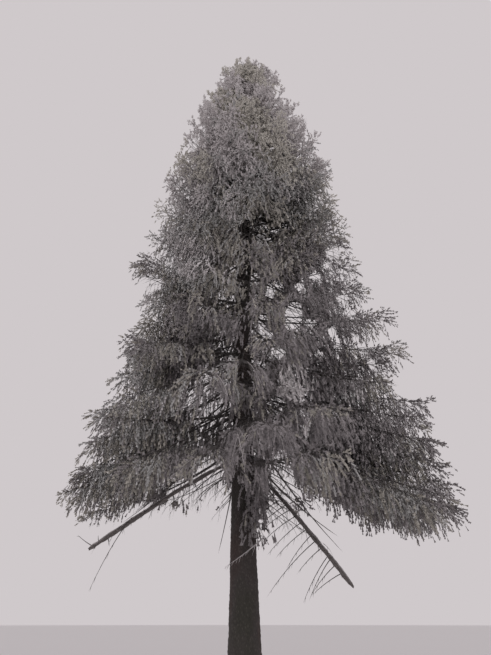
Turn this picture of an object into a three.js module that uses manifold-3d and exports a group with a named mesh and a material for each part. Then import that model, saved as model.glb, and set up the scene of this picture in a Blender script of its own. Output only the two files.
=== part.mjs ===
// Norway spruce, a standing tree: one trunk, boughs in tiers, masses of needled twigs at
// their ends, and two dead limbs under the crown. Millimetres, +Z up. The origin is the
// middle of the flat cut at ground level, and the photographed side faces -Y.
import * as THREE from "three";
import { mergeVertices } from "three/addons/utils/BufferGeometryUtils.js";
import Module from "manifold-3d";

const wasm = await Module();
wasm.setup();

const GAP = 0.3; // clearance between neighbouring solids
const UP = new THREE.Vector3(0, 0, 1);

// Trunk
const TREE_HEIGHT = 20000;
const BREAST_HEIGHT = 1300;
const STEM_DIAMETER = 486; // at breast height, without the swell of the butt
const LEADER_RADIUS = 8;
const SWELL = 0.46; // of the butt's radius at ground level
const SWELL_HEIGHT = 1090;
const ROOT_RIDGES = 5;
const RIDGE_DEPTH = 0.1;
const RIDGE_HEIGHT = 420;
const SWEEP = { lean: -332, bow: 422, back: 70 }; // of the trunk's centre line

// Crown outline: height above the ground and radius, from the tip down
const CROWN = [
  [20000, 60],
  [19700, 230],
  [19200, 400],
  [18500, 690],
  [17500, 1080],
  [16000, 1600],
  [14000, 2060],
  [12000, 2360],
  [8500, 2600],
  [6500, 2960],
  [5000, 3280],
  [3600, 3380],
  [2700, 3350],
];
const CROWN_FOOT = 2750; // lowest hanging twig
const FULLER_SIDE = { low: 0.11, high: 0.03, towards: 0 }; // the crown reaches further to +X

// Tiers of boughs, from the lowest up
const BARE_TIERS = 3; // tiers whose boughs are bare near the trunk
const BOUGHS_PER_TIER = [5, 5, 5, 5, 5, 4, 4, 3, 3, 3];
const LOWEST_TIER = 4950;
const HIGHEST_TIER = 18650;
const TIER_STEP = (HIGHEST_TIER - LOWEST_TIER) / (BOUGHS_PER_TIER.length - 1);
const TIER_TURN = THREE.MathUtils.degToRad(137.5);
const TIER_WAVES = [
  { count: 2, phase: 0.6, height: 0.2 * TIER_STEP },
  { count: 3, phase: 2.1, height: 0.15 * TIER_STEP },
]; // round the trunk, so that no tier lies flat
const LOW_SLOPE = -0.42; // rise for each unit outwards, where the bough leaves the trunk
const HIGH_SLOPE = 1.2;
const LOW_CURL = 0.17; // how far the tip turns up again, as a share of its reach
const HIGH_CURL = 0.9;
const BOUGH_REACH = 0.45; // share of the crown's radius where a bare bough's foliage starts
const STEM_REACH = { low: 0.74, high: 0.5 }; // share of the crown's radius where a stem ends
const ROOM_ABOVE = { low: 0.16, high: 0.6 }; // of the space up to the next tier, for a mass
const ROOM_GAP = 30; // between the spaces of two masses

// Limbs and twigs
const BOUGH_THICKNESS = { root: 46, end: 32, tip: 12 }; // radii
const TWIG_THICKNESS = { root: 0.48, tip: 0.32 }; // of the stem's radius where it starts
const LIMB_START = 0.02; // share of a limb's line, inside the trunk
const STEM_STEPS = 3;
const SIDE_TWIGS = 4;
const SIDE_TWIG_PLACES = { first: 0.1, last: 0.72 }; // shares of the stem's length
const SIDE_TWIG_SIZES = [1, 0.8, 0.64, 0.5]; // tried in turn until one fits
const TWIG_ANGLE = { low: THREE.MathUtils.degToRad(50), high: THREE.MathUtils.degToRad(66) };
const TWIG_SHARE = 0.32; // of the crown's radius
const TWIG_LIFT = { low: -0.55, high: 0.35 }; // rise for each unit of its length

// Sprays of needles: toothed blades, broad near the root
const SPRAY_LENGTH = { low: 1450, high: 600 };
const SPRAY_FINGERS = { tip: 5, side: 4 };
const SPRAY_HUB = 0.36; // of the spray's length, from its root to its thickest place
const SPRAY_SUNK = 5; // past the middle of the twig that it grows from
const SPRAY_NOTCH = 0.58; // of the reach of the fingers beside it
const SPRAY_SHRINK = 0.1; // of a finger's reach, for each place away from the tip
const SPRAY_THICKNESS = 0.04;
const SPRAY_LIFT = { low: -1.7, high: 1.1, spread: 2.2 }; // for a unit along the twig
const SPRAY_ROLL = THREE.MathUtils.degToRad(70);
const FINGER_STEP = THREE.MathUtils.degToRad(44);
const SPRAY_SIZES = [1, 0.85, 0.7, 0.55, 0.42]; // tried in turn until one fits
const SPRAY_SWINGS = [0, 0.35, -0.35]; // tried at each size
const SPRAY_JOINT = 60; // radius round a spray's root that may leave its space
const SMALLEST_EDGE = 1;
const SEED = 1903;

// Dead limbs under the crown
const DEAD_LIMBS = {
  dead_limb_left: {
    from: 4450,
    azimuth: THREE.MathUtils.degToRad(183),
    reach: 2800,
    drop: 1750,
    radius: 42,
    twigs: 6,
    twigLength: 480,
  },
  dead_limb_right: {
    from: 4350,
    azimuth: THREE.MathUtils.degToRad(-4),
    reach: 1850,
    drop: 2150,
    radius: 40,
    twigs: 8,
    twigLength: 700,
  },
};
const DEAD_LIMB_BOW = 0.06; // of its drop
const DEAD_LIMB_TAPER = 0.3;
const DEAD_LIMB_STEPS = 4;
const DEAD_TWIG_PLACES = { first: 0.35, last: 0.95 }; // shares of the limb's length
const DEAD_TWIG_RISE = -1.15; // for each unit outwards
const DEAD_TWIG_THICKNESS = { root: 9, tip: 4 }; // radii

// A seeded generator of numbers from 0 to 1.
function randomFrom(seed) {
  let state = seed;
  return () => {
    state = (state + 0x6d2b79f5) | 0;
    let mixed = Math.imul(state ^ (state >>> 15), 1 | state);
    mixed = (mixed + Math.imul(mixed ^ (mixed >>> 7), 61 | mixed)) ^ mixed;
    return ((mixed ^ (mixed >>> 14)) >>> 0) / 4294967296;
  };
}

const mix = THREE.MathUtils.lerp;
const outwards = (azimuth) => new THREE.Vector3(Math.cos(azimuth), Math.sin(azimuth), 0);

// The trunk's centre at a height.
function trunkCentre(height) {
  const share = height / TREE_HEIGHT;
  return new THREE.Vector3(
    SWEEP.lean * share + SWEEP.bow * share * share,
    SWEEP.back * Math.sin(Math.PI * share),
    height,
  );
}

// The trunk's radius at a height, before its root ridges.
function trunkRadius(height) {
  const taper = Math.sqrt(Math.max(0, (TREE_HEIGHT - height) / (TREE_HEIGHT - BREAST_HEIGHT)));
  const stem = LEADER_RADIUS + (STEM_DIAMETER / 2 - LEADER_RADIUS) * taper;
  return stem * (1 + SWELL * Math.exp(-height / SWELL_HEIGHT));
}

// The crown's radius at a height and azimuth.
function crownRadius(height, azimuth) {
  const further = mix(FULLER_SIDE.low, FULLER_SIDE.high, height / TREE_HEIGHT);
  const fuller = 1 + further * Math.cos(azimuth - FULLER_SIDE.towards);
  const above = CROWN.findIndex(([station]) => station <= height);
  if (above === 0) return CROWN[0][1];
  if (above < 0) return CROWN.at(-1)[1] * fuller;
  const [top, topRadius] = CROWN[above - 1];
  const [foot, footRadius] = CROWN[above];
  return mix(footRadius, topRadius, (height - foot) / (top - foot)) * fuller;
}

// A closed three.js geometry as a manifold solid.
function solidOf(geometry) {
  geometry.deleteAttribute("normal");
  geometry.deleteAttribute("uv");
  const merged = mergeVertices(geometry, 1e-4);
  return new wasm.Manifold(
    new wasm.Mesh({
      numProp: 3,
      vertProperties: merged.attributes.position.array,
      triVerts: new Uint32Array(merged.index.array),
    }),
  );
}

// The largest piece of a solid, which drops loose scraps and fills sealed hollows.
function largestPiece(solid) {
  return solid.decompose().sort((a, b) => b.volume() - a.volume())[0];
}

function meshOf(name, solid, material) {
  const { vertProperties, triVerts } = solid.getMesh();
  const geometry = new THREE.BufferGeometry();
  geometry.setAttribute("position", new THREE.BufferAttribute(vertProperties, 3));
  geometry.setIndex(new THREE.BufferAttribute(triVerts, 1));
  geometry.computeVertexNormals();
  const mesh = new THREE.Mesh(geometry, material);
  mesh.name = name;
  return mesh;
}

// The trunk, a cylinder drawn up the centre line with its taper, swell and root ridges.
function makeTrunk(clearance) {
  const sides = 12;
  const rings = 15;
  const geometry = new THREE.CylinderGeometry(1, 1, 1, sides, rings);
  const place = geometry.attributes.position;
  for (let i = 0; i < place.count; i++) {
    const share = place.getY(i) + 0.5;
    const height = (TREE_HEIGHT * (1 - Math.cos(Math.PI * share))) / 2;
    const angle = Math.atan2(place.getX(i), place.getZ(i));
    const fade = RIDGE_DEPTH * Math.exp(-height / RIDGE_HEIGHT);
    const ridge = 1 + fade * Math.cos(ROOT_RIDGES * angle);
    const reach = Math.hypot(place.getX(i), place.getZ(i)) * (trunkRadius(height) * ridge + clearance);
    const point = trunkCentre(height).addScaledVector(outwards(angle), reach);
    place.setXYZ(i, point.x, point.y, point.z);
  }
  return solidOf(geometry);
}

// A limb along a curve, with a radius for each share of its length.
function makeLimb(curve, radiusAt, sides, steps) {
  const geometry = new THREE.CylinderGeometry(1, 1, 1, sides, steps);
  const frames = curve.computeFrenetFrames(steps, false);
  const place = geometry.attributes.position;
  for (let i = 0; i < place.count; i++) {
    const share = place.getY(i) + 0.5;
    const ring = Math.round(share * steps);
    const radius = radiusAt(share);
    const point = curve
      .getPointAt(share)
      .addScaledVector(frames.normals[ring], place.getZ(i) * radius)
      .addScaledVector(frames.binormals[ring], place.getX(i) * radius);
    place.setXYZ(i, point.x, point.y, point.z);
  }
  return solidOf(geometry);
}

// The stretch of a curve between two shares of its length.
class Stretch extends THREE.Curve {
  constructor(whole, start, end) {
    super();
    Object.assign(this, { whole, start, end });
  }
  getPoint(share, target = new THREE.Vector3()) {
    return target.copy(this.whole.getPointAt(mix(this.start, this.end, share)));
  }
}

// A curve as straight stretches, so that what grows from it starts in the middle of its mesh.
function straightened(curve, steps) {
  const path = new THREE.CurvePath();
  for (let i = 0; i < steps; i++) {
    path.add(new THREE.LineCurve3(curve.getPointAt(i / steps), curve.getPointAt((i + 1) / steps)));
  }
  return path;
}

// A spray of needles: a flat blade of pointed fingers, thickest at its hub. Its corners are a
// sphere's two poles and its equator, where even places are tips and odd ones notches.
function sprayCorners({ root, axis, across, length, fingers }) {
  const hub = length * SPRAY_HUB;
  const face = new THREE.Vector3().crossVectors(axis, across);
  const centre = root.clone().addScaledVector(axis, hub);
  const places = 2 * fingers;
  return (x, y, z) => {
    if (Math.abs(y) > 0.5) {
      return centre.clone().addScaledVector(face, (Math.sign(y) * length * SPRAY_THICKNESS) / 2);
    }
    const turn = Math.round((Math.atan2(z, -x) / (2 * Math.PI)) * places);
    const corner = centre.clone();
    if (Math.abs(turn) === fingers) return corner.addScaledVector(axis, -hub);
    const tip = turn % 2 === 0;
    const reach = (length - hub) * (1 - SPRAY_SHRINK * Math.abs(turn)) * (tip ? 1 : SPRAY_NOTCH);
    const angle = (turn / 2) * FINGER_STEP;
    return corner
      .addScaledVector(axis, reach * Math.cos(angle))
      .addScaledVector(across, reach * Math.sin(angle));
  };
}

function sprayGeometry(spray) {
  const geometry = new THREE.SphereGeometry(1, 2 * spray.fingers, 2);
  const place = geometry.attributes.position;
  const cornerAt = sprayCorners(spray);
  for (let i = 0; i < place.count; i++) {
    const corner = cornerAt(place.getX(i), place.getY(i), place.getZ(i));
    place.setXYZ(i, corner.x, corner.y, corner.z);
  }
  return geometry;
}

// How far every tier stands above its own height at an azimuth.
function wave(azimuth) {
  const rises = TIER_WAVES.map(({ count, phase, height }) => height * Math.sin(count * azimuth + phase));
  return rises.reduce((sum, rise) => sum + rise, 0);
}

// One tier: where its boughs leave the trunk, how they rise, and how they lie round it.
function makeTier(index) {
  const share = index / (BOUGHS_PER_TIER.length - 1);
  const height = LOWEST_TIER + index * TIER_STEP;
  const slope = mix(LOW_SLOPE, HIGH_SLOPE, Math.pow(share, 1.2));
  const reach = crownRadius(height + slope * 1000, Math.PI / 2);
  const curl = mix(LOW_CURL, HIGH_CURL, share * share) / reach;
  const count = BOUGHS_PER_TIER[index];
  const rise = (radius, azimuth) =>
    height + wave(azimuth) + slope * radius + curl * radius * radius;
  return { index, share, height, slope, curl, count, rise, turn: index * TIER_TURN };
}

const tiers = BOUGHS_PER_TIER.map((_, index) => makeTier(index));

// The top and the bottom of a tier's space at a distance from the trunk.
function ceilingOf(tier, radius, azimuth) {
  const next = tiers[tier.index + 1];
  if (!next) return TREE_HEIGHT;
  const room = mix(ROOM_ABOVE.low, ROOM_ABOVE.high, tier.share);
  return mix(tier.rise(radius, azimuth), next.rise(radius, azimuth), room);
}

function floorOf(tier, radius, azimuth) {
  return tier.index === 0 ? CROWN_FOOT : ceilingOf(tiers[tier.index - 1], radius, azimuth);
}

// Whether a point lies in the space of the mass round one azimuth of a tier.
function inSpace(tier, azimuth, start, point) {
  const centre = trunkCentre(point.z);
  const east = point.x - centre.x;
  const north = point.y - centre.y;
  const radius = Math.hypot(east, north);
  const bearing = Math.atan2(north, east);
  const off = Math.abs(Math.atan2(Math.sin(bearing - azimuth), Math.cos(bearing - azimuth)));
  const side = radius * Math.sin(Math.PI / tier.count - off);
  return (
    side > ROOM_GAP &&
    radius > start &&
    radius < crownRadius(point.z, bearing) &&
    point.z > floorOf(tier, radius, bearing) + ROOM_GAP &&
    point.z < ceilingOf(tier, radius, bearing) - ROOM_GAP
  );
}

// The line of a limb from the trunk's centre to its tip in the crown's outline.
function limbLine(tier, azimuth) {
  const height = tier.rise(0, azimuth);
  let reach = trunkRadius(height) * 2;
  const most = mix(STEM_REACH.low, STEM_REACH.high, tier.share);
  while (reach < most * crownRadius(tier.rise(reach, azimuth), azimuth)) reach += 20;
  const from = trunkCentre(height);
  const direction = outwards(azimuth);
  const bend = from.clone().addScaledVector(direction, reach / 2);
  bend.z += (tier.slope * reach) / 2;
  const to = from.clone().addScaledVector(direction, reach);
  to.z = tier.rise(reach, azimuth);
  return { curve: new THREE.QuadraticBezierCurve3(from, bend, to), reach };
}

// A spray that grows from a share of a twig's length and hangs or stands off the twig's line.
function sprayOn(curve, share, tier, random) {
  const axis = curve.getTangentAt(share).multiplyScalar(0.7 + 0.5 * random());
  const lift = mix(SPRAY_LIFT.low, SPRAY_LIFT.high, tier.share) + SPRAY_LIFT.spread * (random() - 0.5);
  axis.addScaledVector(UP, lift).normalize();
  const root = curve.getPointAt(share).addScaledVector(axis, -SPRAY_SUNK);
  return sprayAt(root, axis, SPRAY_FINGERS.side, tier, random);
}

// A spray that carries a twig's line on, and that the twig's end is sunk in.
function tipSpray(curve, thickness, tier, random) {
  const axis = curve.getTangentAt(1);
  const sunk = (2.6 * thickness * SPRAY_HUB) / SPRAY_THICKNESS;
  const root = curve.getPointAt(1).addScaledVector(axis, -sunk);
  return sprayAt(root, axis, SPRAY_FINGERS.tip, tier, random);
}

function sprayAt(root, axis, fingers, tier, random) {
  const aside = new THREE.Vector3().crossVectors(axis, UP).normalize();
  const across = aside.applyAxisAngle(axis, SPRAY_ROLL * (random() - 0.5));
  const usual = mix(SPRAY_LENGTH.low, SPRAY_LENGTH.high, tier.share * tier.share);
  return { root, axis, across, length: usual * (0.9 + 0.2 * random()), fingers };
}

// A twig to one side of a stem, turned off its line and shortened until it fits its space.
function sideTwig(stem, share, side, tier, fits, random) {
  const root = stem.getPointAt(share);
  const line = stem.getTangentAt(share);
  const turn = side * (mix(TWIG_ANGLE.low, TWIG_ANGLE.high, tier.share) + 0.3 * (random() - 0.5));
  const direction = line.clone().applyAxisAngle(UP, turn);
  const longest = TWIG_SHARE * crownRadius(tier.height, 0) * (1 - 0.45 * share);
  for (const size of SIDE_TWIG_SIZES) {
    const length = longest * size * (0.9 + 0.2 * random());
    const tip = root.clone().addScaledVector(direction, length);
    tip.z += length * mix(TWIG_LIFT.low, TWIG_LIFT.high, tier.share);
    if (fits(tip)) return new THREE.LineCurve3(root, tip);
  }
  return null;
}

// A spray as a solid, swung aside or made smaller until it fits its space and crosses no other.
function fittedSpray(spray, fits, others) {
  for (const size of SPRAY_SIZES) {
    for (const swing of SPRAY_SWINGS) {
      const axis = spray.axis.clone().applyAxisAngle(UP, swing);
      const across = spray.across.clone().applyAxisAngle(UP, swing).applyAxisAngle(axis, 2 * swing);
      const geometry = sprayGeometry({ ...spray, axis, across, length: spray.length * size });
      const place = geometry.attributes.position;
      const corners = Array.from({ length: place.count }, (_, i) =>
        new THREE.Vector3().fromBufferAttribute(place, i),
      );
      const clear = corners.filter((corner) => corner.distanceTo(spray.root) > SPRAY_JOINT);
      if (!clear.every(fits)) continue;
      const solid = solidOf(geometry);
      if (others.every((other) => solid.intersect(other).isEmpty())) return solid;
    }
  }
  return null;
}

// A bough up to a share of its limb's line, made thicker by a clearance.
function makeBough(limb, end, clearance) {
  const thickness = (share) => mix(BOUGH_THICKNESS.root, BOUGH_THICKNESS.end, share) + clearance;
  return makeLimb(new Stretch(limb.curve, LIMB_START, end), thickness, 5, 3);
}

// A mass of needled twigs: a stem that carries its limb on, side twigs, and sprays on both.
function makeMass(tier, azimuth, limb, start, random) {
  const radiusAt = (share) => mix(start.radius, BOUGH_THICKNESS.tip, share);
  const stem = straightened(new Stretch(limb.curve, start.share, 1), STEM_STEPS);
  const fits = (point) => inSpace(tier, azimuth, start.clear, point);
  const solids = [makeLimb(stem, radiusAt, 3, STEM_STEPS)];
  const sprays = [tipSpray(stem, BOUGH_THICKNESS.tip, tier, random)];
  sprays.push(sprayOn(stem, 0.5, tier, random));
  for (let i = 0; i < SIDE_TWIGS; i++) {
    const share = mix(SIDE_TWIG_PLACES.first, SIDE_TWIG_PLACES.last, i / (SIDE_TWIGS - 1));
    const twig = sideTwig(stem, share, i % 2 ? -1 : 1, tier, fits, random);
    if (!twig) continue;
    const { root, tip } = TWIG_THICKNESS;
    solids.push(makeLimb(twig, (at) => radiusAt(share) * mix(root, tip, at), 3, 1));
    sprays.push(tipSpray(twig, radiusAt(share) * tip, tier, random));
    if (i < SIDE_TWIGS - 1) sprays.push(sprayOn(twig, 0.5, tier, random));
  }
  const kept = [];
  for (const spray of sprays) {
    const solid = fittedSpray(spray, fits, kept);
    if (solid) kept.push(solid);
  }
  const mass = wasm.Manifold.union([...solids, ...kept]).simplify(SMALLEST_EDGE);
  return largestPiece(start.clearances.reduce((solid, clearance) => solid.subtract(clearance), mass));
}

// A dead limb that hangs from the trunk, with short bare twigs under it.
function makeDeadLimb({ from, azimuth, reach, drop, radius, twigs, twigLength }, trunkClear, random) {
  const root = trunkCentre(from);
  const direction = outwards(azimuth);
  const tip = root.clone().addScaledVector(direction, reach);
  tip.z -= drop;
  const bend = root.clone().lerp(tip, 0.5);
  bend.z += drop * DEAD_LIMB_BOW;
  const curve = straightened(new THREE.QuadraticBezierCurve3(root, bend, tip), DEAD_LIMB_STEPS);
  const thickness = (share) => mix(radius, radius * DEAD_LIMB_TAPER, share);
  const solids = [makeLimb(curve, thickness, 5, DEAD_LIMB_STEPS)];
  for (let i = 0; i < twigs; i++) {
    const share = mix(DEAD_TWIG_PLACES.first, DEAD_TWIG_PLACES.last, i / (twigs - 1));
    const start = curve.getPointAt(share);
    const turn = (i % 2 ? 1 : -1) * (0.9 + 0.5 * random());
    const line = direction.clone().applyAxisAngle(UP, turn).setZ(DEAD_TWIG_RISE).normalize();
    const length = twigLength * (1 - 0.5 * share) * (0.8 + 0.4 * random());
    const end = start.clone().addScaledVector(line, length);
    const twig = new THREE.LineCurve3(start, end);
    solids.push(makeLimb(twig, (at) => mix(DEAD_TWIG_THICKNESS.root, DEAD_TWIG_THICKNESS.tip, at), 3, 1));
  }
  return largestPiece(wasm.Manifold.union(solids).subtract(trunkClear));
}

const bark = new THREE.MeshStandardMaterial({ color: 0x4b4442, roughness: 0.95, metalness: 0 });
const branchBark = new THREE.MeshStandardMaterial({ color: 0x4a4240, roughness: 0.95, metalness: 0 });
const needles = new THREE.MeshStandardMaterial({ color: 0x6f716a, roughness: 0.85, metalness: 0 });
const deadWood = new THREE.MeshStandardMaterial({ color: 0x57504e, roughness: 0.95, metalness: 0 });

const tree = new THREE.Group();
const trunkClear = makeTrunk(GAP * 1.1);
tree.add(meshOf("trunk", makeTrunk(0), bark));

for (const tier of tiers) {
  const level = tier.index + 1;
  for (let number = 0; number < tier.count; number++) {
    const azimuth = tier.turn + (number * 2 * Math.PI) / tier.count;
    const random = randomFrom(SEED + 100 * level + number);
    const limb = limbLine(tier, azimuth);
    const label = `tier${level}_${number + 1}`;
    const start = {
      share: LIMB_START,
      radius: BOUGH_THICKNESS.end,
      clear: trunkRadius(tier.rise(0, azimuth)) + ROOM_GAP,
      clearances: [trunkClear],
    };
    if (tier.index < BARE_TIERS) {
      const end = BOUGH_REACH / STEM_REACH.low;
      const gap = GAP / limb.curve.getLength();
      tree.add(meshOf(`bough_${label}`, makeBough(limb, end, 0).subtract(trunkClear), branchBark));
      start.share = end + gap;
      start.clear = limb.reach * end + ROOM_GAP;
      start.clearances.push(makeBough(limb, end + gap, GAP));
    }
    const mass = makeMass(tier, azimuth, limb, start, random);
    tree.add(meshOf(`foliage_${label}`, mass, needles));
  }
}

Object.entries(DEAD_LIMBS).forEach(([name, limb], number) => {
  const solid = makeDeadLimb(limb, trunkClear, randomFrom(SEED + number));
  tree.add(meshOf(name, solid, deadWood));
});

export default tree;
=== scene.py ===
"""Norway spruce in winter: trunk, boughs, hanging twigs, frosted needles and two dead limbs."""

import functools
import math
from dataclasses import dataclass

import bpy
import numpy as np
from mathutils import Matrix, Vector


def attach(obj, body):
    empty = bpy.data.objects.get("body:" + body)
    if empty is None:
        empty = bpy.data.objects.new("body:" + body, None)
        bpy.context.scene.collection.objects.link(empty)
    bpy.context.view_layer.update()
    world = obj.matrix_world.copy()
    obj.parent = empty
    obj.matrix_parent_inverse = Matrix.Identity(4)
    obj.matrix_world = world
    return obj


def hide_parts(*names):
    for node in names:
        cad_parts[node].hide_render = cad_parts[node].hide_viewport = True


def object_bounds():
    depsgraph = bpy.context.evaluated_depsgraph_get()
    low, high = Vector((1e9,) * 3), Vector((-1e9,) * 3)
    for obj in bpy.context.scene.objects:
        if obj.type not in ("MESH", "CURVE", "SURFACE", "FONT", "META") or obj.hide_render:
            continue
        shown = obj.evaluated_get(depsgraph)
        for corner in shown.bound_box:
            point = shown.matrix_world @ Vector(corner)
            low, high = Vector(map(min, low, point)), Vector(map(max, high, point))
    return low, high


bl_info = {
    "name": "Norway Spruce",
    "version": (1, 0, 0),
    "blender": (4, 5, 0),
    "location": "3D View > Sidebar > Spruce",
    "description": "Grows a winter Norway spruce over the frame of its trunk, boughs and foliage masses",
    "category": "Add Mesh",
}

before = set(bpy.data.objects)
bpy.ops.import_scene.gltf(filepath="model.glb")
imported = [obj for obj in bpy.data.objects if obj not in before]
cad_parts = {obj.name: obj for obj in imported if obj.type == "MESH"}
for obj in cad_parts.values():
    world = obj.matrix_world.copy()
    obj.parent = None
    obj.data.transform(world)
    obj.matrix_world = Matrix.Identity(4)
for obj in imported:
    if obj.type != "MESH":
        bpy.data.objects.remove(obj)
CAD_LOW, CAD_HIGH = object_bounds()

UP = np.array((0.0, 0.0, 1.0))
TREE_HEIGHT = CAD_HIGH.z
GROUND = 0.0
# How far past the solids' box the finer crown may grow
BOX_ROOM = 0.15

# Trunk: the source's rule, in metres
BREAST_HEIGHT = 1.3
STEM_RADIUS = 0.243
LEADER_RADIUS = 0.008
SWELL = 0.46
SWELL_HEIGHT = 1.09
ROOT_RIDGES = 5
RIDGE_DEPTH = 0.1
RIDGE_HEIGHT = 0.42
LEAN, BOW, BACK = -0.332, 0.422, 0.07

# Crown outline: height above the ground and radius, from the foot up
CROWN_HEIGHTS = (2.7, 3.6, 5.0, 6.5, 8.5, 12.0, 14.0, 16.0, 17.5, 18.5, 19.2, 19.7, 20.0)
CROWN_RADII = (3.35, 3.38, 3.28, 2.96, 2.6, 2.36, 2.06, 1.6, 1.08, 0.69, 0.4, 0.23, 0.06)
# How much wider the crown is to the right than its mean, at the ground and at the tip
FULLER_LOW, FULLER_HIGH = 0.11, 0.03
# Lowest foliage: at the crown's edge, behind, near the trunk and before it, how much lower it
# hangs to the right, and how uneven it is
EDGE_FOOT, BACK_FOOT, INNER_FOOT, FRONT_FOOT = 3.1, 3.9, 4.3, 2.7
LOWER_RIGHT = 0.4
RAGGED = 0.2
# The foliage that hangs before the trunk: its middle, half its width and its reach
FRONT_MIDDLE, FRONT_HALF_WIDTH, FRONT_REACH = 0.3, 0.4, 1.25

# Tiers: the source's ten, with finer levels between them
BOUGHS_PER_TIER = (5, 5, 5, 5, 5, 4, 4, 3, 3, 3)
TIERS = len(BOUGHS_PER_TIER)
LOWEST_TIER = 4.95
HIGHEST_TIER = 18.65
TIER_STEP = (HIGHEST_TIER - LOWEST_TIER) / (TIERS - 1)
TIER_TURN = math.radians(137.5)
TIER_WAVES = ((2, 0.6, 0.2 * TIER_STEP), (3, 2.1, 0.15 * TIER_STEP))
LOW_SLOPE, HIGH_SLOPE = -0.42, 1.2
LOW_CURL, HIGH_CURL = 0.17, 0.9
BOUGH_ROOT = 0.036
FINE_BOUGH_ROOT = 0.024
# Leader: where its needled part starts, and the extent that marks it and the upright shoots
LEADER_FROM = 18.1
LEADER_ROOM = 3.0

# Camera: where the photograph was taken from
PHOTO_SIZE = (491, 655)
CAMERA_PLACE = (0.0, -9.24, 1.6)
CAMERA_PITCH = math.radians(32.9)
CAMERA_LENS = 25.0
SENSOR = 36.0

# Openings that the photograph shows in the crown, by place in the picture and half-size, in pixels,
# and the share of the foliage in front of and behind them that is missing
OPENINGS = (
    (247, 229, 8, 10, 0.9), (260, 226, 9, 15, 0.8), (247, 279, 7, 9, 0.85),
    (247, 322, 7, 12, 0.75), (246, 369, 10, 22, 0.8), (246, 414, 11, 15, 0.78),
    (247, 456, 11, 26, 0.5), (294, 314, 10, 15, 1.0), (275, 286, 9, 5, 0.95),
    (299, 285, 6, 5, 0.95), (256, 277, 5, 6, 0.9), (333, 252, 8, 6, 1.0), (343, 298, 6, 5, 1.0),
    (356, 338, 4, 4, 1.0), (381, 322, 3, 2, 1.0), (363, 351, 4, 3, 0.9), (400, 386, 9, 9, 1.0),
    (438, 428, 8, 7, 1.0), (336, 415, 5, 4, 0.9), (440, 458, 6, 5, 0.8), (264, 337, 9, 8, 0.9),
    (277, 352, 10, 7, 0.9), (262, 360, 7, 8, 0.8), (221, 299, 7, 4, 0.85), (203, 307, 5, 4, 0.9),
    (206, 382, 4, 7, 0.95), (228, 381, 5, 6, 0.95), (216, 412, 12, 8, 0.6),
    (209, 496, 18, 44, 0.86), (281, 492, 14, 48, 0.85), (205, 402, 20, 32, 0.5),
    (275, 405, 13, 10, 0.95), (301, 417, 14, 8, 0.6), (182, 490, 15, 13, 0.95),
    (150, 513, 24, 11, 0.95), (118, 529, 24, 10, 0.95), (95, 535, 14, 10, 0.9),
    (238, 500, 8, 34, 0.7), (214, 190, 4, 3, 0.9), (272, 148, 3, 3, 0.9), (258, 176, 4, 3, 0.9),
    (232, 181, 3, 3, 0.9), (150, 283, 13, 9, 0.95), (193, 145, 5, 7, 0.9), (291, 96, 5, 4, 0.9),
    (310, 120, 7, 7, 0.95), (326, 153, 10, 7, 1.0), (212, 79, 5, 5, 0.95), (243, 62, 3, 4, 1.0),
    (231, 62, 4, 5, 1.0), (271, 66, 4, 4, 0.9), (345, 205, 8, 8, 0.8), (270, 292, 5, 8, 1.0),
    (263, 320, 5, 8, 0.95), (315, 276, 6, 5, 1.0), (310, 323, 6, 5, 1.0), (332, 330, 5, 5, 1.0),
    (327, 265, 5, 4, 1.0), (264, 222, 5, 4, 1.0), (275, 230, 6, 4, 1.0), (284, 225, 4, 4, 1.0),
    (270, 239, 5, 4, 1.0), (233, 301, 5, 4, 1.0), (233, 268, 4, 4, 1.0), (350, 315, 5, 4, 1.0),
    (338, 347, 5, 4, 1.0), (372, 364, 5, 5, 1.0), (318, 353, 5, 4, 1.0), (190, 392, 4, 5, 1.0),
    (222, 372, 5, 4, 1.0), (146, 245, 8, 6, 0.9),
)

# Growth: the share of a bough that is bare, low and high in the crown, and how steep a stem is
# when its twigs stand all round it
SEED = 1903
BARE_SHARE = (0.36, 0.08)
UPRIGHT = 0.8

# Boughs whose tips stand out of the outline: height of the tip, azimuth and reach
LONG_BOUGHS = (
    (19.35, -125, 0.5), (19.4, -38, 0.46), (19.0, -33, 0.72), (18.7, -31, 0.96), (18.0, -29, 1.22),
    (16.8, -28, 1.48), (15.8, -25, 1.88), (14.75, -26, 1.95), (13.9, -22, 2.38), (12.6, -23, 2.54),
    (18.65, -146, 0.86), (17.5, -149, 1.15), (16.7, -151, 1.43), (15.6, -152, 1.7),
    (14.75, -153, 1.87), (13.7, -152, 1.98), (11.9, -157, 2.15), (18.4, -85, 0.9),
    (17.6, -60, 1.2), (17.3, -112, 1.2), (10.8, -159, 2.35), (9.8, -160, 2.45), (8.87, -159, 2.66),
    (8.6, -156, 2.55), (9.1, -163, 2.5), (7.8, -158, 2.34), (7.5, -151, 2.2), (7.2, -157, 2.3),
    (6.1, -152, 2.4), (6.5, -158, 2.42), (5.8, -157, 2.66), (5.0, -159, 2.98), (4.4, -156, 2.95),
    (3.9, -158, 3.0), (3.5, -160, 3.24), (4.95, -72, 2.45), (4.75, -66, 2.35), (4.9, -79, 2.3),
    (11.9, -22, 2.45), (11.2, -20, 2.5), (10.6, -25, 2.52), (10.1, -18, 2.68), (9.5, -23, 2.6),
    (8.9, -18, 2.75), (8.0, -20, 2.85), (7.2, -20, 3.3), (6.4, -19, 3.35), (5.6, -24, 3.1),
    (5.15, -18, 3.72), (4.7, -25, 3.5), (4.35, -19, 3.72), (3.95, -20, 3.68), (3.6, -19, 3.74),
    (3.2, -21, 3.78), (3.3, -30, 3.6),
)
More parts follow.
